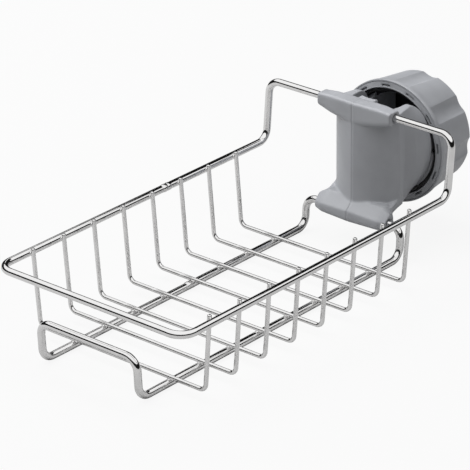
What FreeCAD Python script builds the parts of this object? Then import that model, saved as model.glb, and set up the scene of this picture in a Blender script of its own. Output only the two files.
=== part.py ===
import FreeCAD, Part

import math
import os

import Sketcher
from FreeCAD import Placement, Rotation, Vector

# A wire sponge basket with a screw clamp for a tap's upright pipe. Millimetres, +Z up, +X to the right of
# someone who faces the basket's front end, +Y to the rear. The origin is on the axis of the pipe's seat,
# at the height of the knob's axis, which is the Y axis.

doc = FreeCAD.newDocument("sponge_holder")
sheet = doc.addObject("Spreadsheet::Sheet", "Sizes")

# Driving dimensions
SIZES = {
    # Wires
    "thick_wire_diameter": 3.5,
    "thin_wire_diameter": 2.0,
    "weld_sink": 0.25,
    "bend_radius": 6.0,
    # Rim and base loops, measured between the wires' centre lines
    "rim_width": 106.0,
    "rim_length": 178.8,
    "rim_below_axis": 4.5,
    "rim_corner_radius": 7.5,
    "riser_lean": 3.0,
    "crossbar_to_seat": 20.3,
    "upper_crossbar_rise": 24.7,
    "rail_spacing": 55.6,
    "basket_depth": 36.5,
    "front_bar_rise": 18.8,
    "front_leg_lean": 0.8,
    "lower_crossbar_setback": 3.9,
    "lower_crossbar_rise": 14.7,
    "rear_leg_lean": 1.2,
    # Cross wires
    "cross_wire_count": 8,
    "cross_wire_pitch": 19.24,
    "first_cross_wire": 19.4,
    "floor_width": 95.6,
    "cross_bend_radius": 3.5,
    "tip_rise": 2.6,
    # Clamp body
    "seat_radius": 12.5,
    "channel_half_width": 12.75,
    "channel_centre_setback": 6.1,
    "column_half_width": 18.6,
    "column_front": 25.6,
    "column_face_radius": 28.3,
    "column_crease": 4.9,
    "column_side_flat": 0.3,
    "arm_below_upper_bar": 0.7,
    "arm_above_lower_bar": 1.9,
    "arm_end": 2.5,
    "arm_tip_half_width": 14.6,
    "arm_bulge": 5.9,
    "arm_flat_share": 0.17,
    "arm_first_share": 0.45,
    "arm_first_bulge": 0.6,
    "arm_second_share": 0.72,
    "arm_second_bulge": 0.9,
    "arm_corner_radius": 6.4,
    "arm_slope_start": 22.0,
    "arm_slope_rise": 6.6,
    "web_front": 25.0,
    "web_front_drop": 1.6,
    "web_top_front": 20.5,
    "web_top_front_rise": 3.4,
    "web_top_rear": 11.0,
    "web_top_rear_rise": 7.4,
    "prong_length": 23.5,
    "prong_chamfer": 1.0,
    "sleeve_length": 42.0,
    "sleeve_wall": 2.0,
    "sleeve_end_wall": 1.4,
    "sleeve_edge_radius": 2.3,
    "upper_end_front": 4.6,
    "upper_shoulder": 14.0,
    "upper_shoulder_front": 5.0,
    "upper_shoulder_drop": 5.5,
    "upper_middle_front": 5.5,
    "upper_middle_drop": 8.0,
    "upper_front_radius": 1.3,
    "upper_underside_radius": 3.2,
    "lower_end_front": 2.9,
    "lower_end_rise": 3.9,
    "lower_end_slope": 3.2,
    "lower_shoulder": 16.5,
    "lower_shoulder_rear": 7.0,
    "lower_shoulder_front": 4.2,
    "lower_shoulder_rise": 6.6,
    "lower_shoulder_slope": 5.6,
    "lower_middle_front": 5.4,
    "lower_middle_rise": 7.0,
    "lower_middle_slope": 5.0,
    "bore_clearance": 0.05,
    "bore_relief": 0.6,
    # Seat pad
    "pad_gap": 0.15,
    "pad_half_angle": 65.0,
    "pad_below_sleeve": 0.6,
    "pad_above_foot": 5.9,
    "tongue_width": 9.0,
    "tongue_above_bar": 2.3,
    "tongue_setback": 0.5,
    "sleeve_to_tongue": 0.3,
    # Screw thread of the prongs and the knob
    "thread_pitch": 5.0,
    "thread_overlap": 0.4,
    "thread_height": 2.0,
    "thread_gap": 0.3,
    "thread_base_width": 2.6,
    "thread_crest_width": 1.4,
    "thread_start": 4.8,
    "prong_thread_length": 16.5,
    "knob_thread_length": 6.5,
    # Knob and pressure ring
    "knob_front": 3.5,
    "knob_length": 26.0,
    "knob_taper": 2.5,
    "knob_rear_wall": 2.4,
    "knob_edge_radius": 1.5,
    "lip_length": 2.2,
    "lip_wall": 0.7,
    "lip_step": 0.4,
    "flute_count": 8,
    "flute_front_depth": 1.15,
    "flute_rear_depth": 2.0,
    "flute_front_half_angle": 8.6,
    "flute_rear_half_angle": 10.3,
    "flute_overrun": 1.0,
    "first_land_angle": 15.0,
    "cavity_length": 20.0,
    "cavity_step": 1.5,
    "ring_outer_radius": 28.9,
    "ring_width": 2.8,
    "ring_thickness": 1.5,
    "ring_gap": 0.2,
    "ring_bead": 0.3,
    "ring_bead_width": 0.5,
    "slot_count": 12,
    "slot_width": 0.9,
    "slot_angle": 10.0,
    "first_slot_angle": 7.0,
    "hook_setback": 0.1,
    "hook_thickness": 0.6,
    "hook_length": 3.8,
    "hook_catch": 0.4,
    "hook_catch_length": 1.2,
    "hook_gap": 0.15,
    "collar_wall": 1.2,
    "collar_gap": 0.9,
}
# Sizes that follow from the driving dimensions
DERIVED = {
    "thick_radius": "thick_wire_diameter / 2",
    "thin_radius": "thin_wire_diameter / 2",
    "rim_z": "-rim_below_axis",
    "upper_bar_y": "-crossbar_to_seat",
    "rim_rear_y": "upper_bar_y - riser_lean",
    "rim_front_y": "rim_rear_y - rim_length",
    "rail_z": "rim_z - basket_depth",
    "lower_bar_y": "upper_bar_y - lower_crossbar_setback",
    "rail_rear_y": "lower_bar_y - rear_leg_lean",
    "lower_bar_z": "rail_z + lower_crossbar_rise",
    "arm_top": "upper_crossbar_rise - arm_below_upper_bar",
    "arm_bottom": "-lower_bar_z - arm_above_lower_bar",
    "arm_taper": "column_half_width - arm_tip_half_width",
    "arm_slope_run": "arm_slope_start + arm_end",
    "web_rear_z": "arm_slope_rise * (arm_slope_start - web_top_rear) / arm_slope_run - arm_bottom",
    "column_front_y": "-column_front",
    "column_centre_y": "column_front_y + sqrt(column_face_radius ^ 2 - column_crease ^ 2)",
    "column_reach": "column_half_width + column_crease",
    "column_side_y": "column_centre_y - sqrt(column_face_radius ^ 2 - column_reach ^ 2)",
    "arm_start": "-column_side_y - column_side_flat",
    "arm_length": "arm_start + arm_end",
    "channel_front_y": "-channel_centre_setback - channel_half_width",
    "sleeve_radius": "thick_radius + sleeve_wall",
    "sleeve_end_radius": "thick_radius + sleeve_end_wall",
    "sleeve_rear_y": "upper_bar_y + sleeve_radius",
    "bore_radius": "thick_radius + bore_clearance",
    "ring_inner_radius": "ring_outer_radius - ring_width",
    "hook_inner_radius": "ring_inner_radius + hook_setback",
    "knob_thread_radius": "hook_inner_radius - collar_gap - collar_wall",
    "thread_crest_radius": "knob_thread_radius - thread_gap",
    "thread_root_radius": "thread_crest_radius - thread_height",
    "knob_thread_crest": "thread_root_radius + thread_gap",
    "pad_half_width": "channel_half_width - pad_gap",
    "pad_top": "upper_crossbar_rise - upper_middle_drop - pad_below_sleeve",
    "pad_bottom": "arm_bottom - pad_above_foot",
    "horn_x": "seat_radius * sin(pad_half_angle)",
    "horn_y": "-seat_radius * cos(pad_half_angle)",
    "tongue_half": "tongue_width / 2",
    "tongue_top": "upper_crossbar_rise + tongue_above_bar",
    "tongue_front_y": "sleeve_rear_y + sleeve_to_tongue",
    "tongue_radius": "seat_radius + tongue_setback",
    "tongue_seat_y": "-sqrt(tongue_radius ^ 2 - tongue_half ^ 2)",
    "knob_thread_start": "thread_start + thread_pitch / 2",
    "knob_rear": "knob_front + knob_length",
    "knob_lip_radius": "ring_outer_radius + ring_gap + lip_wall",
    "knob_front_radius": "knob_lip_radius - lip_step",
    "knob_rear_radius": "knob_front_radius - knob_taper",
    "cavity_end_radius": "knob_thread_radius - cavity_step",
    "ring_rear": "knob_front + ring_thickness",
    "ring_floor": "ring_rear + ring_gap / 2",
    "hook_outer_radius": "hook_inner_radius + hook_thickness",
    "hook_end": "ring_rear + hook_length",
    "groove_depth": "hook_end + ring_gap",
    "catch_radius": "hook_outer_radius + hook_catch + hook_gap",
    "first_flute_turn": "first_land_angle + 180 / flute_count - 90",
}


def fill_sheet():
    for row, (alias, size) in enumerate([*SIZES.items(), *DERIVED.items()], start=1):
        sheet.set(f"A{row}", alias)
        sheet.set(f"B{row}", f"={size}" if isinstance(size, str) else str(size))
        sheet.setAlias(f"B{row}", alias)
    doc.recompute()


def words(formula):
    """The formula with each size's name turned into a reference to its cell."""
    out, word = "", ""
    for letter in formula + " ":
        if letter.isalpha() or letter == "_" or (word and letter.isdigit()):
            word += letter
            continue
        out += f"Sizes.{word}" if word in SIZES or word in DERIVED else word
        out += letter
        word = ""
    return out.strip()


def size(formula):
    """The present value of a formula of the sheet's sizes."""
    value = sheet.evalExpression(words(formula))
    return float(getattr(value, "Value", value))


def bind(feature, **formulas):
    for name, formula in formulas.items():
        feature.setExpression(name, words(formula))


def plane(body, role):
    return next(p for p in body.Origin.OriginFeatures if p.Role == role)


def new_body(label):
    body = doc.addObject("PartDesign::Body", label)
    body.Label = label
    return body


def outline(body, role, name, corners):
    """A closed sketch on one of the body's planes. Each corner is two formulas. A third and a fourth value
    make an arc to the next corner: its radius, and 1 if it bulges to the left of the way, -1 to the right."""
    sketch = body.newObject("Sketcher::SketchObject", name)
    sketch.AttachmentSupport = [(plane(body, role), "")]
    sketch.MapMode = "FlatFace"
    places = [Vector(size(c[0]), size(c[1]), 0) for c in corners]
    for i, corner in enumerate(corners):
        start = places[i]
        end = places[(i + 1) % len(corners)]
        if len(corner) == 2:
            sketch.addGeometry(Part.LineSegment(start, end), False)
            continue
        chord = end - start
        left = Vector(-chord.y, chord.x, 0).normalize()
        half = chord.Length / 2
        radius = size(corner[2])
        sagitta = radius - math.sqrt(radius * radius - half * half)
        middle = (start + end) / 2 + left * (corner[3] * sagitta)
        sketch.addGeometry(Part.Arc(start, middle, end), False)
    for i, corner in enumerate(corners):
        arc = len(corner) > 2
        clockwise_end = arc and corner[3] > 0
        first = 2 if clockwise_end else 1
        following = (i + 1) % len(corners)
        next_corner = corners[following]
        next_first = 2 if len(next_corner) > 2 and next_corner[3] > 0 else 1
        sketch.addConstraint(Sketcher.Constraint("Coincident", i, 3 - first, following, next_first))
        for kind, formula in zip(("DistanceX", "DistanceY"), corner[:2]):
            at = sketch.addConstraint(Sketcher.Constraint(kind, -1, 1, i, first, size(formula)))
            sketch.setExpression(f"Constraints[{at}]", words(formula))
        if arc:
            at = sketch.addConstraint(Sketcher.Constraint("Radius", i, size(corner[2])))
            sketch.setExpression(f"Constraints[{at}]", words(corner[2]))
    return sketch


def feature(body, kind, name, sketch, **formulas):
    made = body.newObject(f"PartDesign::{kind}", name)
    made.Profile = sketch
    bind(made, **formulas)
    return made


def turned(body, kind, name, sketch, angle="360"):
    """A Revolution or Groove of the sketch about the Y axis, half of its angle on each side of the sketch."""
    made = body.newObject(f"PartDesign::{kind}", name)
    made.Profile = sketch
    made.ReferenceAxis = (sketch, ["V_Axis"])
    made.Midplane = True
    bind(made, Angle=angle)
    doc.recompute()
    return made


def thread(body, name, corners, length):
    """A screw ridge about the Y axis, from its section in the XY plane."""
    section = outline(body, "XY_Plane", f"{name}_section", corners)
    ridge = body.newObject("PartDesign::AdditiveHelix", name)
    ridge.Profile = section
    ridge.ReferenceAxis = (section, ["V_Axis"])
    ridge.Mode = "pitch-height-angle"
    bind(ridge, Pitch="thread_pitch", Height=length)
    ridge.LeftHanded = False
    ridge.Reversed = False
    doc.recompute()
    return ridge


def around(body, name, feature_made, count):
    """Repeats a feature evenly round the Y axis."""
    ring = body.newObject("PartDesign::PolarPattern", name)
    ring.Originals = [feature_made]
    ring.Axis = (next(a for a in body.Origin.OriginFeatures if a.Role == "Y_Axis"), [""])
    ring.Angle = 360
    bind(ring, Occurrences=count)
    body.Tip = ring
    doc.recompute()
    return ring


def bent_path(points, radii):
    """Edges of a path of straight runs, with a tangent arc at each inner corner."""
    edges = []
    start = points[0]
    for before, corner, after, radius in zip(points, points[1:], points[2:], radii):
        way_in = (corner - before).normalize()
        way_out = (after - corner).normalize()
        turn = way_in.getAngle(way_out)
        back = radius * math.tan(turn / 2)
        first = corner - way_in * back
        last = corner + way_out * back
        inward = (way_out - way_in).normalize()
        middle = corner + inward * (radius / math.cos(turn / 2) - radius)
        edges.append(Part.LineSegment(start, first).toShape())
        edges.append(Part.Arc(first, middle, last).toShape())
        start = last
    edges.append(Part.LineSegment(start, points[-1]).toShape())
    return edges


def rod(name, points, radii, radius):
    """A round wire swept along a bent path."""
    spine = doc.addObject("Part::Feature", f"{name}_path")
    spine.Shape = Part.Wire(bent_path(points, radii))
    section = doc.addObject("Part::Circle", f"{name}_section")
    bind(section, Radius=radius)
    section.Placement = Placement(points[0], Rotation(Vector(0, 0, 1), points[1] - points[0]))
    sweep = doc.addObject("Part::Sweep", name)
    sweep.Sections = [section]
    sweep.Spine = (spine, [f"Edge{i + 1}" for i in range(len(spine.Shape.Edges))])
    sweep.Solid = True
    sweep.Frenet = False
    return sweep


def loop(label, front_points, front_radii, rear_points, rear_radii):
    """A closed wire of two rods that meet at the butt weld and in the middle of the crossbar."""
    halves = [
        rod(f"{label}_front", front_points, front_radii, "thick_radius"),
        rod(f"{label}_rear", rear_points, rear_radii, "thick_radius"),
    ]
    joined = doc.addObject("Part::MultiFuse", label)
    joined.Shapes = halves
    joined.Refine = True
    joined.Label = label
    return joined


def rim_wire():
    half = size("rim_width / 2")
    z = size("rim_z")
    front, rear = size("rim_front_y"), size("rim_rear_y")
    bar_y, bar_z = size("upper_bar_y"), size("upper_crossbar_rise")
    weld = Vector(-half, (front + rear) / 2, z)
    corner, bend = size("rim_corner_radius"), size("bend_radius")
    middle = Vector(0, bar_y, bar_z)
    return loop(
        "rim_wire",
        [
            weld,
            Vector(-half, front, z),
            Vector(half, front, z),
            Vector(half, rear, z),
            Vector(half, bar_y, bar_z),
            middle,
        ],
        [corner, corner, bend, bend],
        [weld, Vector(-half, rear, z), Vector(-half, bar_y, bar_z), middle],
        [bend, bend],
    )


def base_wire():
    half = size("rail_spacing / 2")
    z = size("rail_z")
    foot_y, bar_y = size("rim_front_y"), size("rim_front_y - front_leg_lean")
    bar_z = size("rail_z + front_bar_rise")
    rear = size("rail_rear_y")
    rear_bar_y, rear_bar_z = size("lower_bar_y"), size("lower_bar_z")
    weld = Vector(-half, (foot_y + rear) / 2, z)
    bend = size("bend_radius")
    middle = Vector(0, rear_bar_y, rear_bar_z)
    return loop(
        "base_wire",
        [
            weld,
            Vector(-half, foot_y, z),
            Vector(-half, bar_y, bar_z),
            Vector(half, bar_y, bar_z),
            Vector(half, foot_y, z),
            Vector(half, rear, z),
            Vector(half, rear_bar_y, rear_bar_z),
            middle,
        ],
        [bend] * 6,
        [weld, Vector(-half, rear, z), Vector(-half, rear_bar_y, rear_bar_z), middle],
        [bend, bend],
    )


def cross_wires():
    """U wires that lie on the rails and stand against the inner side of the rim."""
    contact = size("thick_radius + thin_radius - weld_sink")
    floor_z = size("rail_z") + contact
    rim_x = size("rim_width / 2") - contact
    floor_x = size("floor_width / 2")
    slope = (rim_x - floor_x) / (size("rim_z") - floor_z)
    tip_z = size("rim_z + tip_rise")
    tip_x = rim_x + slope * size("tip_rise")
    bend = size("cross_bend_radius")
    wires = []
    for i in range(int(size("cross_wire_count"))):
        y = size("rim_front_y + first_cross_wire") + i * size("cross_wire_pitch")
        points = [
            Vector(-tip_x, y, tip_z),
            Vector(-floor_x, y, floor_z),
            Vector(floor_x, y, floor_z),
            Vector(tip_x, y, tip_z),
        ]
        wire = rod(f"cross_wire_{i + 1}", points, [bend, bend], "thin_radius")
        wire.Label = wire.Name
        wires.append(wire)
    return wires


def arm_section(body, name, along, bulge):
    """A section across both arms. Its sides lean in and bulge more and more towards the arms' ends."""
    y = f"({along} * arm_length - arm_start)"
    low = f"(arm_slope_rise * (arm_slope_start + {y}) / arm_slope_run - arm_bottom)"
    edge = f"(column_half_width - {along} * arm_taper)"
    half = f"((arm_top - {low}) / 2)"
    sag = f"({along} * arm_taper + {bulge} * arm_bulge)"
    side = () if along == "0" else (f"({half} ^ 2 + {sag} ^ 2) / (2 * {sag})", -1)
    sketch = outline(body, "XZ_Plane", name, [
        (edge, low, *side),
        (edge, "arm_top"),
        (f"-{edge}", "arm_top", *side),
        (f"-{edge}", low),
    ])
    sketch.setExpression("AttachmentOffset.Base.z", words(f"-{y}"))
    return sketch


def clamp_core():
    """The half-pipe column with its two arms and side webs, and the threaded prongs."""
    body = new_body("clamp_core")
    plan = outline(body, "XY_Plane", "column_plan", [
        ("column_half_width", "-arm_start"),
        ("-column_half_width", "-arm_start"),
        ("-column_half_width", "column_side_y", "column_face_radius", -1),
        ("0", "column_front_y", "column_face_radius", -1),
        ("column_half_width", "column_side_y"),
    ])
    column = feature(body, "Pad", "column", plan, Length="arm_top", Length2="arm_bottom")
    column.SideType = "Two sides"
    doc.recompute()

    slope = outline(body, "YZ_Plane", "arm_slope", [
        ("-arm_slope_start", "-arm_bottom"),
        ("arm_end", "-arm_bottom"),
        ("arm_end", "arm_slope_rise - arm_bottom"),
    ])
    undercut = feature(body, "Pocket", "arm_undercut", slope, Length="4 * column_half_width")
    undercut.SideType = "Symmetric"
    doc.recompute()

    sections = [
        arm_section(body, "arm_root", "0", "0"),
        arm_section(body, "arm_flat", "arm_flat_share", "0"),
        arm_section(body, "arm_first", "arm_first_share", "arm_first_bulge"),
        arm_section(body, "arm_second", "arm_second_share", "arm_second_bulge"),
        arm_section(body, "arm_tip", "1", "1"),
    ]
    doc.recompute()
    arms = body.newObject("PartDesign::AdditiveLoft", "arms")
    arms.Profile = sections[0]
    arms.Sections = sections[1:]
    arms.Ruled = True
    doc.recompute()

    corner = outline(body, "YZ_Plane", "arm_corner", [
        ("arm_end - arm_corner_radius", "arm_top", "arm_corner_radius", 1),
        ("arm_end", "arm_top - arm_corner_radius"),
        ("arm_end + arm_corner_radius", "arm_top - arm_corner_radius"),
        ("arm_end + arm_corner_radius", "arm_top + arm_corner_radius"),
        ("arm_end - arm_corner_radius", "arm_top + arm_corner_radius"),
    ])
    rounding = feature(body, "Pocket", "arm_rounding", corner, Length="4 * column_half_width")
    rounding.SideType = "Symmetric"
    doc.recompute()

    web_side = outline(body, "YZ_Plane", "web_side", [
        ("-web_front", "-arm_bottom - web_front_drop"),
        ("-web_top_rear", "web_rear_z"),
        ("-web_top_rear", "web_top_rear_rise - arm_bottom"),
        ("-web_top_front", "web_top_front_rise - arm_bottom"),
    ])
    webs = feature(body, "Pad", "webs", web_side, Length="2 * column_half_width")
    webs.SideType = "Symmetric"
    doc.recompute()

    prongs = outline(body, "XY_Plane", "prong_half", [
        ("0", "0"),
        ("thread_root_radius", "0"),
        ("thread_root_radius", "prong_length - prong_chamfer"),
        ("thread_root_radius - prong_chamfer", "prong_length"),
        ("0", "prong_length"),
    ])
    turned(body, "Revolution", "prong_core", prongs)
    thread(body, "prong_thread", [
        ("thread_root_radius - thread_overlap", "thread_start - thread_base_width / 2"),
        ("thread_root_radius", "thread_start - thread_base_width / 2"),
        ("thread_crest_radius", "thread_start - thread_crest_width / 2"),
        ("thread_crest_radius", "thread_start + thread_crest_width / 2"),
        ("thread_root_radius", "thread_start + thread_base_width / 2"),
        ("thread_root_radius - thread_overlap", "thread_start + thread_base_width / 2"),
    ], "prong_thread_length")

    channel_plan = outline(body, "XY_Plane", "channel_plan", [
        ("channel_half_width", "prong_length + thread_pitch"),
        ("-channel_half_width", "prong_length + thread_pitch"),
        ("-channel_half_width", "-channel_centre_setback", "channel_half_width", -1),
        ("0", "channel_front_y", "channel_half_width", -1),
        ("channel_half_width", "-channel_centre_setback"),
    ])
    channel = feature(body, "Pocket", "channel", channel_plan, Length="4 * arm_top")
    channel.SideType = "Symmetric"
    doc.recompute()
    return body


def sleeve_section(body, name, x, bar_y, bar_z, reach, front_top, front_bottom, top_is_round):
    """A section round a crossbar with rounded corners; the upper front one can be a flat slope instead."""
    rear, front, top, bottom = reach
    rear_y, front_y = f"{bar_y} + {rear}", f"{bar_y} - {front}"
    high, low = f"{bar_z} + {top}", f"{bar_z} - {bottom}"
    edge = ("sleeve_edge_radius", -1)
    sketch = outline(body, "YZ_Plane", name, [
        (rear_y, f"{low} + sleeve_edge_radius"),
        (rear_y, f"{high} - sleeve_edge_radius", *edge),
        (f"{rear_y} - sleeve_edge_radius", high),
        (f"{front_y} + {front_top}", high, *((front_top, -1) if top_is_round else ())),
        (front_y, f"{high} - {front_top}"),
        (front_y, f"{low} + {front_bottom}", front_bottom, -1),
        (f"{front_y} + {front_bottom}", low),
        (f"{rear_y} - sleeve_edge_radius", low, *edge),
    ])
    sketch.setExpression("AttachmentOffset.Base.z", words(x))
    return sketch


def sleeve(body, name, bar_y, bar_z, shoulder_x, end, shoulder, middle, top_is_round):
    """A sleeve along a crossbar that flares from its two ends to the column."""
    sections = [
        sleeve_section(body, f"{name}_{where}", x, bar_y, bar_z, *form, top_is_round)
        for where, x, form in (
            ("left_end", "-sleeve_length / 2", end),
            ("left_shoulder", f"-{shoulder_x}", shoulder),
            ("middle", "0", middle),
            ("right_shoulder", shoulder_x, shoulder),
            ("right_end", "sleeve_length / 2", end),
        )
    ]
    doc.recompute()
    loft = body.newObject("PartDesign::AdditiveLoft", name)
    loft.Profile = sections[0]
    loft.Sections = sections[1:]
    loft.Ruled = True
    doc.recompute()
    return loft


def crossbar_bore(body, name, bar_y, bar_z):
    sketch = body.newObject("Sketcher::SketchObject", f"{name}_section")
    sketch.AttachmentSupport = [(plane(body, "YZ_Plane"), "")]
    sketch.MapMode = "FlatFace"
    centre = Vector(size(bar_y), size(bar_z), 0)
    sketch.addGeometry(Part.Circle(centre, Vector(0, 0, 1), size("bore_radius")), False)
    for kind, formula in (("DistanceX", bar_y), ("DistanceY", bar_z)):
        at = sketch.addConstraint(Sketcher.Constraint(kind, -1, 1, 0, 3, size(formula)))
        sketch.setExpression(f"Constraints[{at}]", words(formula))
    at = sketch.addConstraint(Sketcher.Constraint("Radius", 0, size("bore_radius")))
    sketch.setExpression(f"Constraints[{at}]", words("bore_radius"))
    bore = feature(body, "Pocket", name, sketch, Length="2 * sleeve_length")
    bore.SideType = "Symmetric"
    doc.recompute()
    return bore


def clamp_body():
    body = clamp_core()
    body.Label = "clamp_body"
    sleeve(
        body, "upper_sleeve", "upper_bar_y", "upper_crossbar_rise", "upper_shoulder",
        (("sleeve_end_radius", "upper_end_front", "sleeve_end_radius", "sleeve_end_radius"),
         "upper_front_radius", "sleeve_edge_radius"),
        (("sleeve_radius", "upper_shoulder_front", "sleeve_radius", "upper_shoulder_drop"),
         "upper_front_radius", "upper_underside_radius"),
        (("sleeve_radius", "upper_middle_front", "sleeve_radius", "upper_middle_drop"),
         "upper_front_radius", "upper_underside_radius"),
        True,
    )
    sleeve(
        body, "lower_sleeve", "lower_bar_y", "lower_bar_z", "lower_shoulder",
        (("sleeve_end_radius", "lower_end_front", "lower_end_rise", "sleeve_end_radius"),
         "lower_end_slope", "sleeve_edge_radius"),
        (("lower_shoulder_rear", "lower_shoulder_front", "lower_shoulder_rise", "sleeve_radius"),
         "lower_shoulder_slope", "sleeve_edge_radius"),
        (("sleeve_radius", "lower_middle_front", "lower_middle_rise", "sleeve_radius"),
         "lower_middle_slope", "sleeve_edge_radius"),
        False,
    )
    crossbar_bore(body, "upper_bore", "upper_bar_y", "upper_crossbar_rise")
    last = crossbar_bore(body, "lower_bore", "lower_bar_y", "lower_bar_z")
    relief = body.newObject("PartDesign::Chamfer", "bore_relief")
    mouths = [
        f"Edge{i + 1}"
        for i, e in enumerate(last.Shape.Edges)
        if isinstance(e.Curve, Part.Circle) and abs(e.Curve.Radius - size("bore_radius")) < 1e-6
    ]
    relief.Base = (last, mouths)
    bind(relief, Size="bore_relief")
    doc.recompute()
    return body


def seat_pad():
    """The soft pad in the channel, with a tongue that stands behind the upper sleeve."""
    body = new_body("seat_pad")
    plan = outline(body, "XY_Plane", "pad_plan", [
        ("pad_half_width", "horn_y"),
        ("horn_x", "horn_y", "seat_radius", 1),
        ("-horn_x", "horn_y"),
        ("-pad_half_width", "horn_y"),
        ("-pad_half_width", "-channel_centre_setback", "pad_half_width", -1),
        ("0", "-channel_centre_setback - pad_half_width", "pad_half_width", -1),
        ("pad_half_width", "-channel_centre_setback"),
    ])
    block = feature(body, "Pad", "pad_block", plan, Length="pad_top", Length2="pad_bottom")
    block.SideType = "Two sides"
    doc.recompute()
    tongue_plan = outline(body, "XY_Plane", "tongue_plan", [
        ("tongue_half", "tongue_front_y"),
        ("tongue_half", "tongue_seat_y", "tongue_radius", 1),
        ("-tongue_half", "tongue_seat_y"),
        ("-tongue_half", "tongue_front_y"),
    ])
    feature(body, "Pad", "tongue", tongue_plan, Length="tongue_top")
    doc.recompute()
    return body


def flute_section(body, name, y, radius, depth, half_angle):
    """The waste of one flute, square to the knob's axis."""
    half = f"{radius} * sin({half_angle})"
    edge = f"{radius} * cos({half_angle})"
    sag = f"({edge} - {radius} + {depth})"
    sketch = outline(body, "XZ_Plane", name, [
        (half, edge),
        (half, f"{radius} + thread_height"),
        (f"-{half}", f"{radius} + thread_height"),
        (f"-{half}", edge, f"(({half}) ^ 2 + {sag} ^ 2) / (2 * {sag})", -1),
    ])
    sketch.setExpression("AttachmentOffset.Base.z", words(f"-({y})"))
    return sketch


def knob_shell():
    """The hollow fluted knob, with a seat for the pressure ring and its hooks, and the inner thread."""
    body = new_body("knob_shell")
    half_section = outline(body, "XY_Plane", "knob_half", [
        ("0", "knob_rear - knob_rear_wall"),
        ("cavity_end_radius", "knob_rear - knob_rear_wall"),
        ("cavity_end_radius", "knob_front + cavity_length"),
        ("knob_thread_radius", "knob_front + cavity_length"),
        ("knob_thread_radius", "ring_floor"),
        ("knob_thread_radius + collar_wall", "ring_floor"),
        ("knob_thread_radius + collar_wall", "groove_depth"),
        ("catch_radius", "groove_depth"),
        ("catch_radius", "hook_end - hook_catch_length - hook_gap"),
        ("hook_outer_radius + hook_gap", "hook_end - hook_catch_length - hook_gap"),
        ("hook_outer_radius + hook_gap", "ring_floor"),
        ("ring_outer_radius + ring_gap", "ring_floor"),
        ("ring_outer_radius + ring_gap", "knob_front"),
        ("knob_lip_radius", "knob_front"),
        ("knob_lip_radius", "knob_front + lip_length"),
        ("knob_front_radius", "knob_front + lip_length"),
        ("knob_rear_radius", "knob_rear - knob_edge_radius", "knob_edge_radius", -1),
        ("knob_rear_radius - knob_edge_radius", "knob_rear"),
        ("0", "knob_rear"),
    ])
    turned(body, "Revolution", "knob_turned", half_section)
    thread(body, "knob_thread", [
        ("knob_thread_radius + thread_overlap", "knob_thread_start - thread_base_width / 2"),
        ("knob_thread_radius", "knob_thread_start - thread_base_width / 2"),
        ("knob_thread_crest", "knob_thread_start - thread_crest_width / 2"),
        ("knob_thread_crest", "knob_thread_start + thread_crest_width / 2"),
        ("knob_thread_radius", "knob_thread_start + thread_base_width / 2"),
        ("knob_thread_radius + thread_overlap", "knob_thread_start + thread_base_width / 2"),
    ], "knob_thread_length")
    front = flute_section(body, "flute_front", "knob_front + lip_length", "knob_front_radius",
                          "flute_front_depth", "flute_front_half_angle")
    rear = flute_section(body, "flute_rear", "knob_rear + flute_overrun", "knob_rear_radius",
                         "flute_rear_depth", "flute_rear_half_angle")
    for sketch in (front, rear):
        sketch.setExpression("AttachmentOffset.Rotation.Angle", words("first_flute_turn"))
    doc.recompute()
    flute = body.newObject("PartDesign::SubtractiveLoft", "flute")
    flute.Profile = front
    flute.Sections = [rear]
    flute.Ruled = True
    doc.recompute()
    around(body, "flutes", flute, "flute_count")
    return body


def turn_to_slot(sketch):
    """Turns a sketch of the XY plane about the Y axis, up to the first slot right of the knob's axis."""
    sketch.AttachmentOffset = Placement(Vector(), Rotation(Vector(0, -1, 0), size("first_slot_angle")))
    sketch.setExpression("AttachmentOffset.Rotation.Angle", words("first_slot_angle"))


def pressure_ring():
    """The slotted ring in the front of the knob, with a snap hook behind each slot."""
    body = new_body("pressure_ring")
    half_section = outline(body, "XY_Plane", "ring_half", [
        ("ring_inner_radius", "knob_front - ring_bead"),
        ("ring_inner_radius + ring_bead_width", "knob_front - ring_bead"),
        ("ring_inner_radius + ring_bead_width", "knob_front"),
        ("ring_outer_radius", "knob_front"),
        ("ring_outer_radius", "ring_rear"),
        ("ring_inner_radius", "ring_rear"),
    ])
    turned(body, "Revolution", "ring_turned", half_section)
    hook_half = outline(body, "XY_Plane", "hook_half", [
        ("hook_inner_radius", "ring_rear - ring_gap"),
        ("hook_outer_radius", "ring_rear - ring_gap"),
        ("hook_outer_radius", "hook_end - hook_catch_length"),
        ("hook_outer_radius + hook_catch", "hook_end - hook_catch_length"),
        ("hook_outer_radius", "hook_end"),
        ("hook_inner_radius", "hook_end"),
    ])
    turn_to_slot(hook_half)
    hook = turned(body, "Revolution", "hook", hook_half, "slot_angle")
    around(body, "hooks", hook, "slot_count")
    slot_half = outline(body, "XY_Plane", "slot_half", [
        ("hook_outer_radius", "knob_front - ring_bead"),
        ("hook_outer_radius + slot_width", "knob_front - ring_bead"),
        ("hook_outer_radius + slot_width", "ring_rear + ring_gap"),
        ("hook_outer_radius", "ring_rear + ring_gap"),
    ])
    turn_to_slot(slot_half)
    slot = turned(body, "Groove", "slot", slot_half, "slot_angle")
    around(body, "slots", slot, "slot_count")
    return body


def write(pieces):
    for item in doc.Objects:
        if {"Invalid", "Error"} & set(item.State):
            raise RuntimeError(f"{item.Name} failed: {item.State}")
    for piece in pieces:
        shape = piece.Shape
        if shape.isNull() or not shape.isValid() or len(shape.Solids) != 1:
            raise RuntimeError(f"{piece.Label} is not one valid solid")
    os.makedirs("parts", exist_ok=True)
    for piece in pieces:
        piece.Shape.exportStep(f"parts/{piece.Label}.step")


fill_sheet()
pieces = [rim_wire(), base_wire(), *cross_wires(), clamp_body(), seat_pad(), knob_shell(), pressure_ring()]
doc.recompute()
write(pieces)
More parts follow.
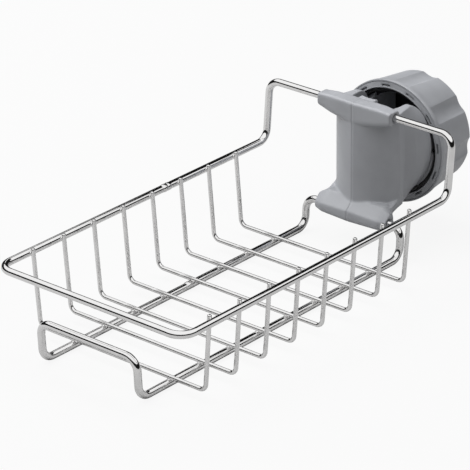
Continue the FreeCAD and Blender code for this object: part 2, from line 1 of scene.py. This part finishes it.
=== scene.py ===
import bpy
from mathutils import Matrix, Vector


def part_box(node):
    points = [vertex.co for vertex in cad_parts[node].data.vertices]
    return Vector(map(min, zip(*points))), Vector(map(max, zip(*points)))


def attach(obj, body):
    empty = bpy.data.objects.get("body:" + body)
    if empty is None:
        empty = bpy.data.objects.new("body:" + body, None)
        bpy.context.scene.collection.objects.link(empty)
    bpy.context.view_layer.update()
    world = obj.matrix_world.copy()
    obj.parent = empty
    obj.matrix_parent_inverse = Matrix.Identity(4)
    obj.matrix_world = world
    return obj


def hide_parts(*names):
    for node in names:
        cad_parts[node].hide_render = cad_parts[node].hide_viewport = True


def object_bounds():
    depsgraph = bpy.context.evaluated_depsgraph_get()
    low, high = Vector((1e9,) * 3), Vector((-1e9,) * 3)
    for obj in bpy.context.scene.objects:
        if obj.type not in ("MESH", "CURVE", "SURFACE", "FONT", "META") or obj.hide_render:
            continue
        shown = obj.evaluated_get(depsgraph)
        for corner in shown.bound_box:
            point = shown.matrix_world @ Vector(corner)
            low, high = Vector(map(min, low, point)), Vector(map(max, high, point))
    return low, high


bl_info = {
    "name": "Sponge holder",
    "version": (1, 0, 0),
    "blender": (4, 5, 0),
    "location": "View3D > Sidebar > Sponge holder",
    "description": "Dresses the CAD frame of a wire sponge holder with a screw clamp",
    "category": "Object",
}

import math

import bpy
from bpy.props import FloatProperty, FloatVectorProperty, IntProperty, PointerProperty
from mathutils import Matrix, Vector

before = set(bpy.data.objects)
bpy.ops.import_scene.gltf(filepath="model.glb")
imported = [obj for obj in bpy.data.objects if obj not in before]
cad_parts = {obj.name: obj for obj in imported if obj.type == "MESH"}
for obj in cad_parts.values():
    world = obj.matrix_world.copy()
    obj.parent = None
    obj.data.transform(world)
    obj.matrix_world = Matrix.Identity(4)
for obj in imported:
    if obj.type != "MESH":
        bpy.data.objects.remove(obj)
cad_low, cad_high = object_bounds()

MM = 0.001
MERGE = 1e-6

THICK_WIRES = ("rim_wire", "base_wire")
CROSS_WIRES = tuple(sorted(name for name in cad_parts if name.startswith("cross_wire_")))

# The thick wires' radius, how far welded wires sink into each other, and the butt welds' places along y
THICK_RADIUS, WELD_SINK = 1.75 * MM, 0.25 * MM
RIM_BUTT_Y, RAIL_BUTT_Y = -94.5 * MM, -107.3 * MM

# A cross wire's cut ends: how far below its top they reach, and how far they face upwards
TIP_DEPTH, TIP_FACING = 0.6 * MM, 0.9

# A butt weld's rise along its half length, as shares: sunk ends, two humps and the seam between them
BUTT_PROFILE = {
    -1.0: -1.0, -0.62: 0.7, -0.3: 1.0, -0.06: 0.8, 0.06: 0.35, 0.2: 0.8, 0.5: 1.0, 0.75: 0.5, 1.0: -1.0,
}

# A spot weld's half width and half height in millimetres, and the share that it narrows towards its ends
BEAD_WIDTH, BEAD_HEIGHT, BEAD_TAPER = 1.25, 0.62, 0.35

# Where the clamp's edges go from crisp to soft or back, in millimetres
FRONT_DEPTH = (12, 15)
COLUMN_FOOT = (-17, -14)
COLUMN_HEAD = (10, 13)
SLEEVE_HEIGHT = (14, 16)
SLEEVE_END = (19, 20.2)

# Shares of the clamp's softness
REAR_SOFTNESS = 0.15
COLUMN_CRISPNESS, SLEEVE_END_CRISPNESS = 0.8, 0.75

# The mould's parting line: half width and rear end in millimetres, and how far its faces may face back
SEAM_HALF_WIDTH, SEAM_Y, SEAM_FACING = 0.3, -18, 0.3

# The knob's hollow, in millimetres, whose faces are painted near black as shade
HOLLOW_RADIUS, HOLLOW_REAR_Y = 25.0, 27.3

# The part of a noise's values that a finish uses
NOISE_LOW, NOISE_HIGH = 0.3, 0.7

# The photograph's camera: place in metres, axes, and focal length and picture width in pixels
CAMERA_PLACE = Vector((0.7980, -1.0257, 0.5608))
CAMERA_BACK = Vector((0.5943, -0.6837, 0.4235))
CAMERA_RIGHT = Vector((0.7584, 0.6516, -0.0123))
FOCAL_PIXELS, PICTURE_PIXELS = 3050.4, 470
SENSOR = 36.0

FLOOR_RADIUS, FLOOR_ROUGHNESS = 3.0, 0.9


# Selecting and modelling


def deselect():
    """Leaves edit mode, with nothing selected."""
    if bpy.context.object and bpy.context.object.mode != "OBJECT":
        bpy.ops.object.mode_set(mode="OBJECT")
    bpy.ops.object.select_all(action="DESELECT")


def pick(obj):
    """Leaves only this object selected and active."""
    deselect()
    obj.select_set(True)
    bpy.context.view_layer.objects.active = obj


def copy_node(node, name):
    """A new object with a merged copy of a CAD node's mesh."""
    obj = bpy.data.objects.new(name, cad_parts[node].data.copy())
    bpy.context.scene.collection.objects.link(obj)
    obj.data.materials.clear()
    pick(obj)
    bpy.ops.object.mode_set(mode="EDIT")
    bpy.ops.mesh.select_all(action="SELECT")
    bpy.ops.mesh.customdata_custom_splitnormals_clear()
    bpy.ops.mesh.remove_doubles(threshold=MERGE)
    bpy.ops.object.mode_set(mode="OBJECT")
    return obj


def copy_piece(obj, name, place):
    """A copy of a piece with its own mesh, its place in the mesh."""
    other = bpy.data.objects.new(name, obj.data.copy())
    bpy.context.scene.collection.objects.link(other)
    other.data.transform(place)
    return other


def apply_modifier(obj, kind, **settings):
    """Adds a modifier, sets it and applies it."""
    pick(obj)
    modifier = obj.modifiers.new(kind.lower(), kind)
    for name, value in settings.items():
        setattr(modifier, name, value)
    bpy.ops.object.modifier_apply(modifier=modifier.name)


def ramp(span, value):
    """0 below the span, 1 above it, straight between."""
    low, high = span
    return min(1.0, max(0.0, (value - low) / (high - low)))


def soften(obj, share_at, repeat):
    """Smooths the mesh as far as share_at says for each place in millimetres."""
    group = obj.vertex_groups.new(name="soft")
    for vertex in obj.data.vertices:
        group.add([vertex.index], share_at(vertex.co / MM), "REPLACE")
    apply_modifier(obj, "SMOOTH", factor=0.5, iterations=repeat, vertex_group="soft")
    obj.vertex_groups.remove(obj.vertex_groups["soft"])


def round_edges(obj, width, segments, angle):
    """Rounds the edges that are sharper than an angle in degrees."""
    apply_modifier(
        obj,
        "BEVEL",
        width=width,
        segments=segments,
        limit_method="ANGLE",
        angle_limit=math.radians(angle),
        harden_normals=False,
    )


def smooth_shading(obj, angle):
    """Shades the faces that meet at less than an angle in degrees as one."""
    pick(obj)
    bpy.ops.object.shade_smooth_by_angle(angle=math.radians(angle))


def finish_piece(obj, body, slot, *nodes):
    """Attaches a piece to the body that it rides on and hides the CAD nodes that it stands for; the slot
    is not used.
    """
    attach(obj, body)
    if nodes:
        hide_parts(*nodes)


def add_primitive(operator, name, **settings):
    """Adds and names a primitive, with nothing else selected."""
    deselect()
    operator(**settings)
    obj = bpy.context.object
    obj.name = name
    return obj


def select_in(obj, kind, wanted):
    """Enters edit mode with the vertices or faces selected that wanted accepts."""
    pick(obj)
    bpy.ops.object.mode_set(mode="EDIT")
    bpy.ops.mesh.select_mode(type=kind)
    bpy.ops.mesh.select_all(action="DESELECT")
    bpy.ops.object.mode_set(mode="OBJECT")
    for item in {"VERT": obj.data.vertices, "FACE": obj.data.polygons}[kind]:
        item.select = wanted(item)
    bpy.ops.object.mode_set(mode="EDIT")


# Materials


class Finish:
    """A material whose patterns follow the object's own coordinates."""

    def __init__(self, name):
        self.material = bpy.data.materials.new(name)
        self.material.use_nodes = True
        self.tree = self.material.node_tree
        self.shader = self.tree.nodes["Principled BSDF"]
        self.coordinates = self.tree.nodes.new("ShaderNodeTexCoord")

    def link(self, start, end):
        self.tree.links.new(start, end)

    def noise(self, scale, detail):
        node = self.tree.nodes.new("ShaderNodeTexNoise")
        node.inputs["Scale"].default_value = scale
        node.inputs["Detail"].default_value = detail
        self.link(self.coordinates.outputs["Object"], node.inputs["Vector"])
        return node.outputs["Fac"]

    def gloss(self, value, low, high):
        """A noise mapped to a range, on the roughness."""
        node = self.tree.nodes.new("ShaderNodeMapRange")
        node.inputs["From Min"].default_value = NOISE_LOW
        node.inputs["From Max"].default_value = NOISE_HIGH
        node.inputs["To Min"].default_value = low
        node.inputs["To Max"].default_value = high
        self.link(value, node.inputs["Value"])
        self.link(node.outputs["Result"], self.shader.inputs["Roughness"])

    def tint(self, value, low, high):
        """Two colours mixed by a noise, on the base colour."""
        node = self.tree.nodes.new("ShaderNodeValToRGB")
        node.color_ramp.elements[0].position = NOISE_LOW
        node.color_ramp.elements[1].position = NOISE_HIGH
        node.color_ramp.elements[0].color = (*low, 1)
        node.color_ramp.elements[1].color = (*high, 1)
        self.link(value, node.inputs["Fac"])
        self.link(node.outputs["Color"], self.shader.inputs["Base Color"])

    def bump(self, value, strength, height):
        node = self.tree.nodes.new("ShaderNodeBump")
        node.inputs["Strength"].default_value = strength
        node.inputs["Distance"].default_value = height
        self.link(value, node.inputs["Height"])
        self.link(node.outputs["Normal"], self.shader.inputs["Normal"])


def shade(colour, share):
    """A colour made darker or lighter by a share."""
    return tuple(c * share for c in colour)


def polished_steel(name, look):
    """Bright wire with faint clouds, uneven polish and a slight ripple."""
    finish = Finish(name)
    finish.shader.inputs["Metallic"].default_value = 1.0
    clouds = finish.noise(scale=140, detail=3)
    finish.tint(clouds, shade(look.colour, 0.95), shade(look.colour, 1.03))
    polish = finish.noise(scale=420, detail=4)
    finish.gloss(polish, low=look.roughness * 0.7, high=look.roughness * 1.4)
    finish.bump(finish.noise(scale=900, detail=2), strength=0.03, height=0.02 * MM)
    return finish.material


def satin_plastic(name, colour, roughness, grain):
    """Moulded plastic with faint clouds, uneven gloss and the mould's fine grain."""
    finish = Finish(name)
    finish.shader.inputs["Specular IOR Level"].default_value = 0.5
    clouds = finish.noise(scale=90, detail=4)
    finish.tint(clouds, shade(colour, 0.95), shade(colour, 1.05))
    patches = finish.noise(scale=260, detail=3)
    finish.gloss(patches, low=roughness - 0.04, high=roughness + 0.05)
    finish.bump(finish.noise(scale=2600, detail=2), strength=0.25, height=grain)
    return finish.material


# Sizes and colours


class SpongeHolderWires(bpy.types.PropertyGroup):
    colour: FloatVectorProperty(
        name="Colour", description="Colour of the polished wire", subtype="COLOR",
        size=3, min=0, max=1, default=(0.86, 0.855, 0.852))
    roughness: FloatProperty(
        name="Roughness", description="Middle of the wire's roughness", subtype="FACTOR",
        default=0.05, min=0, max=1)
    bead_reach: FloatProperty(
        name="Spot weld reach", description="How far a spot weld runs out on each side of the thin wire",
        subtype="DISTANCE", default=0.0017, min=0.0005, max=0.004)
    butt_length: FloatProperty(
        name="Butt weld length", description="Length of a loop's butt weld along the wire",
        subtype="DISTANCE", default=0.0065, min=0.001, max=0.012)
    butt_rise: FloatProperty(
        name="Butt weld rise", description="How far a butt weld stands above the wire",
        subtype="DISTANCE", default=0.00022, min=0.00002, max=0.0005)
    tip_round: FloatProperty(
        name="Tip rounding", description="Rounding of the cross wires' tips",
        subtype="DISTANCE", default=0.00065, min=0.0001, max=0.0009)


class SpongeHolderClamp(bpy.types.PropertyGroup):
    colour: FloatVectorProperty(
        name="Colour", description="Colour of the clamp's plastic", subtype="COLOR",
        size=3, min=0, max=1, default=(0.285, 0.292, 0.310))
    roughness: FloatProperty(
        name="Roughness", description="Middle of the plastic's roughness", subtype="FACTOR",
        default=0.32, min=0, max=1)
    grain: FloatProperty(
        name="Grain", description="Height of the mould's grain", subtype="DISTANCE",
        default=0.000012, min=0)
    voxel: FloatProperty(
        name="Voxel", description="Size of the moulding's remesh", subtype="DISTANCE",
        default=0.00033, min=0.0002)
    softness: IntProperty(
        name="Softness", description="How often the moulding's edges are smoothed", default=30, min=0)
    kept_share: FloatProperty(
        name="Kept share", description="Share of the remeshed faces that are kept", subtype="FACTOR",
        default=0.45, min=0.1, max=1)
    seam_rise: FloatProperty(
        name="Seam rise", description="Height of the mould's parting line", subtype="DISTANCE",
        default=0.00022, min=0)


class SpongeHolderKnob(bpy.types.PropertyGroup):
    colour: FloatVectorProperty(
        name="Colour", description="Colour of the knob's plastic", subtype="COLOR",
        size=3, min=0, max=1, default=(0.285, 0.292, 0.310))
    # Near-black colour painted into the knob's hollow as shade
    inside: FloatVectorProperty(
        name="Inside", description="Colour of the knob's hollow", subtype="COLOR",
        size=3, min=0, max=1, default=(0.012, 0.012, 0.013))
    edge: FloatProperty(
        name="Edge", description="Width of the knob's rounded edges", subtype="DISTANCE",
        default=0.00035, min=0)
    ring_edge: FloatProperty(
        name="Ring edge", description="Width of the ring's rounded edges", subtype="DISTANCE",
        default=0.00012, min=0)


class SpongeHolderStage(bpy.types.PropertyGroup):
    floor: FloatVectorProperty(
        name="Floor", description="Colour of the floor", subtype="COLOR",
        size=3, min=0, max=1, default=(0.35, 0.35, 0.35))
    floor_white: FloatProperty(
        name="Floor white", description="Share of the floor that shows as plain white", subtype="FACTOR",
        default=0.9, min=0, max=1)
    floor_mirrored: FloatProperty(
        name="Mirrored white", description="Share of the floor that shows as plain white in a mirror",
        subtype="FACTOR", default=0.0, min=0, max=1)
    ambient: FloatProperty(
        name="Ambient", description="Strength of the world's light on the object", default=0.35, min=0)
    left_power: FloatProperty(
        name="Left light", description="Power of the softbox on the left", subtype="POWER",
        default=15.0, min=0)
    top_power: FloatProperty(
        name="Top light", description="Power of the softbox above", subtype="POWER",
        default=8.0, min=0)
    front_power: FloatProperty(
        name="Front light", description="Power of the softbox in front on the left", subtype="POWER",
        default=12.0, min=0)
    right_power: FloatProperty(
        name="Right light", description="Power of the softbox on the right", subtype="POWER",
        default=5.0, min=0)
    dark: FloatProperty(
        name="Dark screens", description="Brightness of the dark screens that the wires mirror",
        subtype="FACTOR", default=0.01, min=0, max=1)


# Wires


class SPONGE_OT_wires(bpy.types.Operator):
    """Polishes the two thick loops and the cross wires"""

    bl_idname = "sponge_holder.wires"
    bl_label = "Wires"

    def execute(self, context):
        look = context.scene.sponge_wires
        steel = polished_steel("polished_wire", look)
        for node in THICK_WIRES:
            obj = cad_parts[node]
            obj.data.materials.clear()
            obj.data.materials.append(steel)
        for node in CROSS_WIRES:
            obj = copy_node(node, f"basket_wire_{node[-1]}")
            self.round_tips(obj, look.tip_round)
            smooth_shading(obj, angle=40)
            obj.data.materials.append(steel)
            finish_piece(obj, "holder", "wire", node)
        return {"FINISHED"}

    def round_tips(self, obj, width):
        """Rounds the cut ends that stand above the rim."""
        top = max(vertex.co.z for vertex in obj.data.vertices)
        select_in(obj, "FACE", lambda face: (
            face.center.z > top - TIP_DEPTH and face.normal.z > TIP_FACING))
        bpy.ops.mesh.dissolve_faces()
        bpy.ops.mesh.region_to_loop()
        bpy.ops.mesh.bevel(offset=width, segments=4, profile=0.5, affect="EDGES")
        bpy.ops.object.mode_set(mode="OBJECT")


def side_places(node):
    """How far out and how high the axes of a thick loop's two long sides lie."""
    low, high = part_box(node)
    return high.x - THICK_RADIUS, low.z + THICK_RADIUS


class SPONGE_OT_butt_welds(bpy.types.Operator):
    """Models the ground butt weld that closes each thick loop"""

    bl_idname = "sponge_holder.butt_welds"
    bl_label = "Butt welds"

    def execute(self, context):
        look = context.scene.sponge_wires
        bead = self.model_bead(look)
        bead.data.materials.append(polished_steel("ground_weld", look))
        rise = look.butt_rise
        rim_x, rim_z = side_places("rim_wire")
        rail_x, rail_z = side_places("base_wire")
        on_rim = Vector((rise - rim_x, RIM_BUTT_Y, rim_z + rise / 2))
        on_rail = Vector((rise / 2 - rail_x, RAIL_BUTT_Y, rail_z + rise))
        rail = copy_piece(bead, "rail_butt_weld", Matrix.Translation(on_rail))
        bead.data.transform(Matrix.Translation(on_rim))
        for obj in (bead, rail):
            finish_piece(obj, "holder", "wire")
        return {"FINISHED"}

    def model_bead(self, look):
        """A collar round the wire, cut into rings that swell and narrow along the profile."""
        half = look.butt_length / 2
        bead = add_primitive(
            bpy.ops.mesh.primitive_cylinder_add, "rim_butt_weld",
            vertices=24, radius=THICK_RADIUS, depth=2 * half, rotation=(math.pi / 2, 0, 0))
        bpy.ops.object.transform_apply(location=False, rotation=True, scale=True)
        bpy.ops.object.mode_set(mode="EDIT")
        for share in BUTT_PROFILE:
            if abs(share) < 1:
                bpy.ops.mesh.select_all(action="SELECT")
                bpy.ops.mesh.bisect(plane_co=(0, half * share, 0), plane_no=(0, 1, 0))
        for share, height in BUTT_PROFILE.items():
            swell = 1 + height * look.butt_rise / THICK_RADIUS
            select_in(bead, "VERT", lambda vertex: abs(vertex.co.y - half * share) < MERGE)
            bpy.ops.transform.resize(value=(swell, 1, swell), center_override=(0, 0, 0))
        apply_modifier(bead, "SUBSURF", levels=2, render_levels=2)
        smooth_shading(bead, angle=60)
        return bead


class SPONGE_OT_spot_welds(bpy.types.Operator):
    """Models one spot weld and copies it to each crossing of the wires"""

    bl_idname = "sponge_holder.spot_welds"
    bl_label = "Spot welds"

    def execute(self, context):
        look = context.scene.sponge_wires
        bead = self.model_bead(look.bead_reach)
        bead.data.materials.append(polished_steel("spot_weld", look))
        contact = THICK_RADIUS - WELD_SINK / 2
        rim_x, rim_z = side_places("rim_wire")
        rail_x, rail_z = side_places("base_wire")
        upright = Matrix.Rotation(math.pi / 2, 4, "Y")
        for node in CROSS_WIRES:
            low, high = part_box(node)
            y = (low.y + high.y) / 2
            for side, sign in (("left", -1), ("right", 1)):
                on_rail = Vector((sign * rail_x, y, rail_z + contact))
                on_rim = Vector((sign * (rim_x - contact), y, rim_z))
                for where, place in (
                    ("rail", Matrix.Translation(on_rail)),
                    ("rim", Matrix.Translation(on_rim) @ upright),
                ):
                    weld = copy_piece(bead, f"{where}_weld_{side}_{node[-1]}", place)
                    finish_piece(weld, "holder", "wire")
        bpy.data.objects.remove(bead)
        return {"FINISHED"}

    def model_bead(self, reach):
        """A flat drop that narrows towards both ends."""
        bead = add_primitive(
            bpy.ops.mesh.primitive_uv_sphere_add, "spot_weld", segments=16, ring_count=10, radius=MM)
        bpy.ops.object.mode_set(mode="EDIT")
        bpy.ops.mesh.select_all(action="SELECT")
        bpy.ops.transform.resize(value=(BEAD_WIDTH, reach / MM, BEAD_HEIGHT))
        bpy.ops.object.mode_set(mode="OBJECT")
        for vertex in bead.data.vertices:
            along = vertex.co.y / reach
            vertex.co.x *= 1 - BEAD_TAPER * along * along
        apply_modifier(bead, "SUBSURF", levels=1, render_levels=1)
        smooth_shading(bead, angle=60)
        return bead


# Clamp


def moulding_softness(place):
    """How far the clamp's edges are softened: most on sleeves and foot, little on column and arms."""
    front = REAR_SOFTNESS + (1 - REAR_SOFTNESS) * ramp(FRONT_DEPTH, -place.y)
    on_column = ramp(COLUMN_FOOT, place.z) * (1 - ramp(COLUMN_HEAD, place.z))
    at_sleeve_end = ramp(SLEEVE_HEIGHT, place.z) * ramp(SLEEVE_END, abs(place.x))
    return front * (1 - COLUMN_CRISPNESS * on_column) * (1 - SLEEVE_END_CRISPNESS * at_sleeve_end)


class SPONGE_OT_clamp(bpy.types.Operator):
    """Softens the clamp's moulding and raises its parting line"""

    bl_idname = "sponge_holder.clamp"
    bl_label = "Clamp moulding"

    def execute(self, context):
        look = context.scene.sponge_clamp
        obj = copy_node("clamp_body", "clamp_moulding")
        apply_modifier(obj, "REMESH", mode="VOXEL", voxel_size=look.voxel)
        soften(obj, moulding_softness, look.softness)
        self.raise_seam(obj, look.seam_rise)
        apply_modifier(obj, "DECIMATE", ratio=look.kept_share)
        smooth_shading(obj, angle=60)
        obj.data.materials.append(satin_plastic("clamp_plastic", look.colour, look.roughness, look.grain))
        finish_piece(obj, "holder", "clamp_plastic", "clamp_body")
        return {"FINISHED"}

    def raise_seam(self, obj, rise):
        """Lifts the line of the mould's parting on the front of the moulding."""
        select_in(obj, "VERT", lambda vertex: (
            abs(vertex.co.x) < SEAM_HALF_WIDTH * MM
            and vertex.co.y < SEAM_Y * MM
            and vertex.normal.y < SEAM_FACING))
        bpy.ops.transform.shrink_fatten(value=-rise)
        bpy.ops.object.mode_set(mode="OBJECT")


class SPONGE_OT_seat_lining(bpy.types.Operator):
    """Rounds the rubber lining of the pipe's seat"""

    bl_idname = "sponge_holder.seat_lining"
    bl_label = "Seat lining"

    def execute(self, context):
        look = context.scene.sponge_clamp
        obj = copy_node("seat_pad", "seat_lining")
        round_edges(obj, width=0.5 * MM, segments=3, angle=30)
        smooth_shading(obj, angle=35)
        rubber = satin_plastic("seat_rubber", shade(look.colour, 0.95), roughness=0.62, grain=0.02 * MM)
        obj.data.materials.append(rubber)
        finish_piece(obj, "holder", "pad_rubber", "seat_pad")
        return {"FINISHED"}


# Knob


class SPONGE_OT_knob(bpy.types.Operator):
    """Rounds the fluted knob's edges and paints shade into its hollow with a near-black material"""

    bl_idname = "sponge_holder.knob"
    bl_label = "Knob"

    def execute(self, context):
        look = context.scene.sponge_knob
        clamp = context.scene.sponge_clamp
        obj = copy_node("knob_shell", "knob_cover")
        round_edges(obj, look.edge, segments=2, angle=28)
        smooth_shading(obj, angle=30)
        for plastic in (
            satin_plastic("knob_plastic", look.colour, clamp.roughness, clamp.grain),
            satin_plastic("knob_painted_shade", look.inside, roughness=0.6, grain=clamp.grain),
        ):
            obj.data.materials.append(plastic)
        # Faces in the hollow get the near-black material, which paints shade there
        for polygon in obj.data.polygons:
            place = polygon.center / MM
            inside = math.hypot(place.x, place.z) < HOLLOW_RADIUS and place.y < HOLLOW_REAR_Y
            polygon.material_index = 1 if inside else 0
        finish_piece(obj, "knob", "knob_plastic", "knob_shell")
        return {"FINISHED"}


class SPONGE_OT_ring(bpy.types.Operator):
    """Rounds the edges of the slotted pressure ring"""

    bl_idname = "sponge_holder.ring"
    bl_label = "Pressure ring"

    def execute(self, context):
        look = context.scene.sponge_knob
        clamp = context.scene.sponge_clamp
        obj = copy_node("pressure_ring", "slotted_ring")
        round_edges(obj, look.ring_edge, segments=2, angle=40)
        smooth_shading(obj, angle=30)
        obj.data.materials.append(satin_plastic("ring_plastic", look.colour, clamp.roughness, clamp.grain))
        finish_piece(obj, "ring", "ring_plastic", "pressure_ring")
        return {"FINISHED"}


# Stage


def white_share(tree, straight, mirrored):
    """How white a surface shows to the camera: straight or through glass, and in a mirror."""
    path = tree.nodes.new("ShaderNodeLightPath")
    total = None
    for name, share in (
        ("Is Camera Ray", straight), ("Is Transmission Ray", straight), ("Is Glossy Ray", mirrored)
    ):
        node = tree.nodes.new("ShaderNodeMath")
        node.operation = "MULTIPLY_ADD"
        node.use_clamp = True
        tree.links.new(path.outputs[name], node.inputs[0])
        node.inputs[1].default_value = share
        node.inputs[2].default_value = 0.0
        if total:
            tree.links.new(total, node.inputs[2])
        total = node.outputs["Value"]
    return total


def around(azimuth, elevation, distance):
    """A place in metres at an azimuth and an elevation in degrees."""
    turn, lift = math.radians(azimuth), math.radians(elevation)
    level = math.cos(lift)
    return distance * Vector((math.cos(turn) * level, math.sin(turn) * level, math.sin(lift)))


class SPONGE_OT_stage(bpy.types.Operator):
    """Sets the floor, the soft light, the white surroundings and the camera"""

    bl_idname = "sponge_holder.stage"
    bl_label = "Stage"

    def execute(self, context):
        look = context.scene.sponge_stage
        self.floor(look)
        self.screen("dark_curtain", look.dark, radius=1.9, top=0.97, start=0, end=360)
        self.screen("dark_back", look.dark, radius=0.6, top=0.8, start=70, end=142)
        self.world(context.scene, look)
        self.softbox("left_softbox", look.left_power, size=1.1, azimuth=190, elevation=50, distance=1.3)
        self.softbox("top_softbox", look.top_power, size=0.9, azimuth=140, elevation=70, distance=1.3)
        self.softbox("front_softbox", look.front_power, size=0.9, azimuth=235, elevation=48, distance=1.5)
        self.softbox("right_softbox", look.right_power, size=0.8, azimuth=15, elevation=48, distance=1.5)
        self.camera(context.scene)
        context.scene.view_settings.view_transform = "Standard"
        return {"FINISHED"}

    def floor(self, look):
        obj = add_primitive(
            bpy.ops.mesh.primitive_circle_add, "floor",
            vertices=96, radius=FLOOR_RADIUS, fill_type="NGON", location=(0, 0, cad_low.z))
        material = bpy.data.materials.new("pale_floor")
        material.use_nodes = True
        tree = material.node_tree
        shader = tree.nodes["Principled BSDF"]
        shader.inputs["Base Color"].default_value = (*look.floor, 1)
        shader.inputs["Roughness"].default_value = FLOOR_ROUGHNESS
        white = tree.nodes.new("ShaderNodeEmission")
        mix = tree.nodes.new("ShaderNodeMixShader")
        tree.links.new(white_share(tree, look.floor_white, look.floor_mirrored), mix.inputs["Fac"])
        tree.links.new(shader.outputs["BSDF"], mix.inputs[1])
        tree.links.new(white.outputs["Emission"], mix.inputs[2])
        tree.links.new(mix.outputs["Shader"], tree.nodes["Material Output"].inputs["Surface"])
        obj.data.materials.append(material)

    def screen(self, name, grey, radius, top, start, end):
        """A curved screen on the floor, between two azimuths, that only reflections see."""
        obj = add_primitive(
            bpy.ops.mesh.primitive_cylinder_add, name,
            vertices=120, radius=radius, depth=top - cad_low.z, end_fill_type="NOTHING",
            location=(0, 0, (top + cad_low.z) / 2))
        select_in(obj, "FACE", lambda face: not (
            start <= math.degrees(math.atan2(face.center.y, face.center.x)) % 360 <= end))
        bpy.ops.mesh.delete(type="FACE")
        bpy.ops.object.mode_set(mode="OBJECT")
        material = bpy.data.materials.new(name)
        material.use_nodes = True
        shader = material.node_tree.nodes["Principled BSDF"]
        shader.inputs["Base Color"].default_value = (0, 0, 0, 1)
        shader.inputs["Specular IOR Level"].default_value = 0.0
        shader.inputs["Emission Color"].default_value = (1, 1, 1, 1)
        shader.inputs["Emission Strength"].default_value = grey
        obj.data.materials.append(material)
        obj.visible_camera = False
        obj.visible_diffuse = False
        obj.visible_shadow = False
        obj.visible_transmission = False

    def world(self, scene, look):
        world = bpy.data.worlds.new("white_room")
        world.use_nodes = True
        tree = world.node_tree
        light = tree.nodes["Background"]
        light.inputs["Color"].default_value = (1, 1, 1, 1)
        light.inputs["Strength"].default_value = look.ambient
        white = tree.nodes.new("ShaderNodeBackground")
        white.inputs["Color"].default_value = (1, 1, 1, 1)
        white.inputs["Strength"].default_value = 1.0
        mix = tree.nodes.new("ShaderNodeMixShader")
        tree.links.new(white_share(tree, straight=1.0, mirrored=1.0), mix.inputs["Fac"])
        tree.links.new(light.outputs["Background"], mix.inputs[1])
        tree.links.new(white.outputs["Background"], mix.inputs[2])
        tree.links.new(mix.outputs["Shader"], tree.nodes["World Output"].inputs["Surface"])
        scene.world = world

    def softbox(self, name, power, size, azimuth, elevation, distance):
        """A square lamp that faces the object and doesn't show in reflections."""
        place = around(azimuth, elevation, distance)
        data = bpy.data.lights.new(name, "AREA")
        data.shape = "SQUARE"
        data.size = size
        data.energy = power
        obj = bpy.data.objects.new(name, data)
        bpy.context.scene.collection.objects.link(obj)
        obj.location = place
        obj.visible_glossy = False
        obj.rotation_mode = "QUATERNION"
        obj.rotation_quaternion = (-place).to_track_quat("-Z", "Y")

    def camera(self, scene):
        data = bpy.data.cameras.new("photo_camera")
        data.sensor_width = SENSOR
        data.lens = FOCAL_PIXELS / PICTURE_PIXELS * SENSOR
        obj = bpy.data.objects.new("photo_camera", data)
        scene.collection.objects.link(obj)
        back = CAMERA_BACK.normalized()
        right = (CAMERA_RIGHT - back * CAMERA_RIGHT.dot(back)).normalized()
        turn = Matrix((right, back.cross(right), back)).transposed().to_4x4()
        obj.matrix_world = Matrix.Translation(CAMERA_PLACE) @ turn
        scene.camera = obj


# Sidebar and start


OPERATORS = (
    SPONGE_OT_wires,
    SPONGE_OT_butt_welds,
    SPONGE_OT_spot_welds,
    SPONGE_OT_clamp,
    SPONGE_OT_seat_lining,
    SPONGE_OT_knob,
    SPONGE_OT_ring,
    SPONGE_OT_stage,
)
GROUPS = {
    "sponge_wires": SpongeHolderWires,
    "sponge_clamp": SpongeHolderClamp,
    "sponge_knob": SpongeHolderKnob,
    "sponge_stage": SpongeHolderStage,
}


class SPONGE_PT_panel(bpy.types.Panel):
    """Lists the sponge holder's sizes, colours and pieces"""

    bl_idname = "SPONGE_PT_panel"
    bl_label = "Sponge holder"
    bl_space_type = "VIEW_3D"
    bl_region_type = "UI"
    bl_category = "Sponge holder"

    def draw(self, context):
        for name, group in GROUPS.items():
            box = self.layout.box()
            for entry in group.__annotations__:
                box.prop(getattr(context.scene, name), entry)
        for operator in OPERATORS:
            self.layout.operator(operator.bl_idname)


def register():
    for item in (*GROUPS.values(), *OPERATORS, SPONGE_PT_panel):
        bpy.utils.register_class(item)
    for name, group in GROUPS.items():
        setattr(bpy.types.Scene, name, PointerProperty(type=group))


def unregister():
    for name in GROUPS:
        delattr(bpy.types.Scene, name)
    for item in reversed((*GROUPS.values(), *OPERATORS, SPONGE_PT_panel)):
        bpy.utils.unregister_class(item)


def main():
    register()
    bpy.ops.sponge_holder.wires()
    bpy.ops.sponge_holder.butt_welds()
    bpy.ops.sponge_holder.spot_welds()
    bpy.ops.sponge_holder.clamp()
    bpy.ops.sponge_holder.seat_lining()
    bpy.ops.sponge_holder.knob()
    bpy.ops.sponge_holder.ring()
    bpy.ops.sponge_holder.stage()


if __name__ == "__main__":
    main()
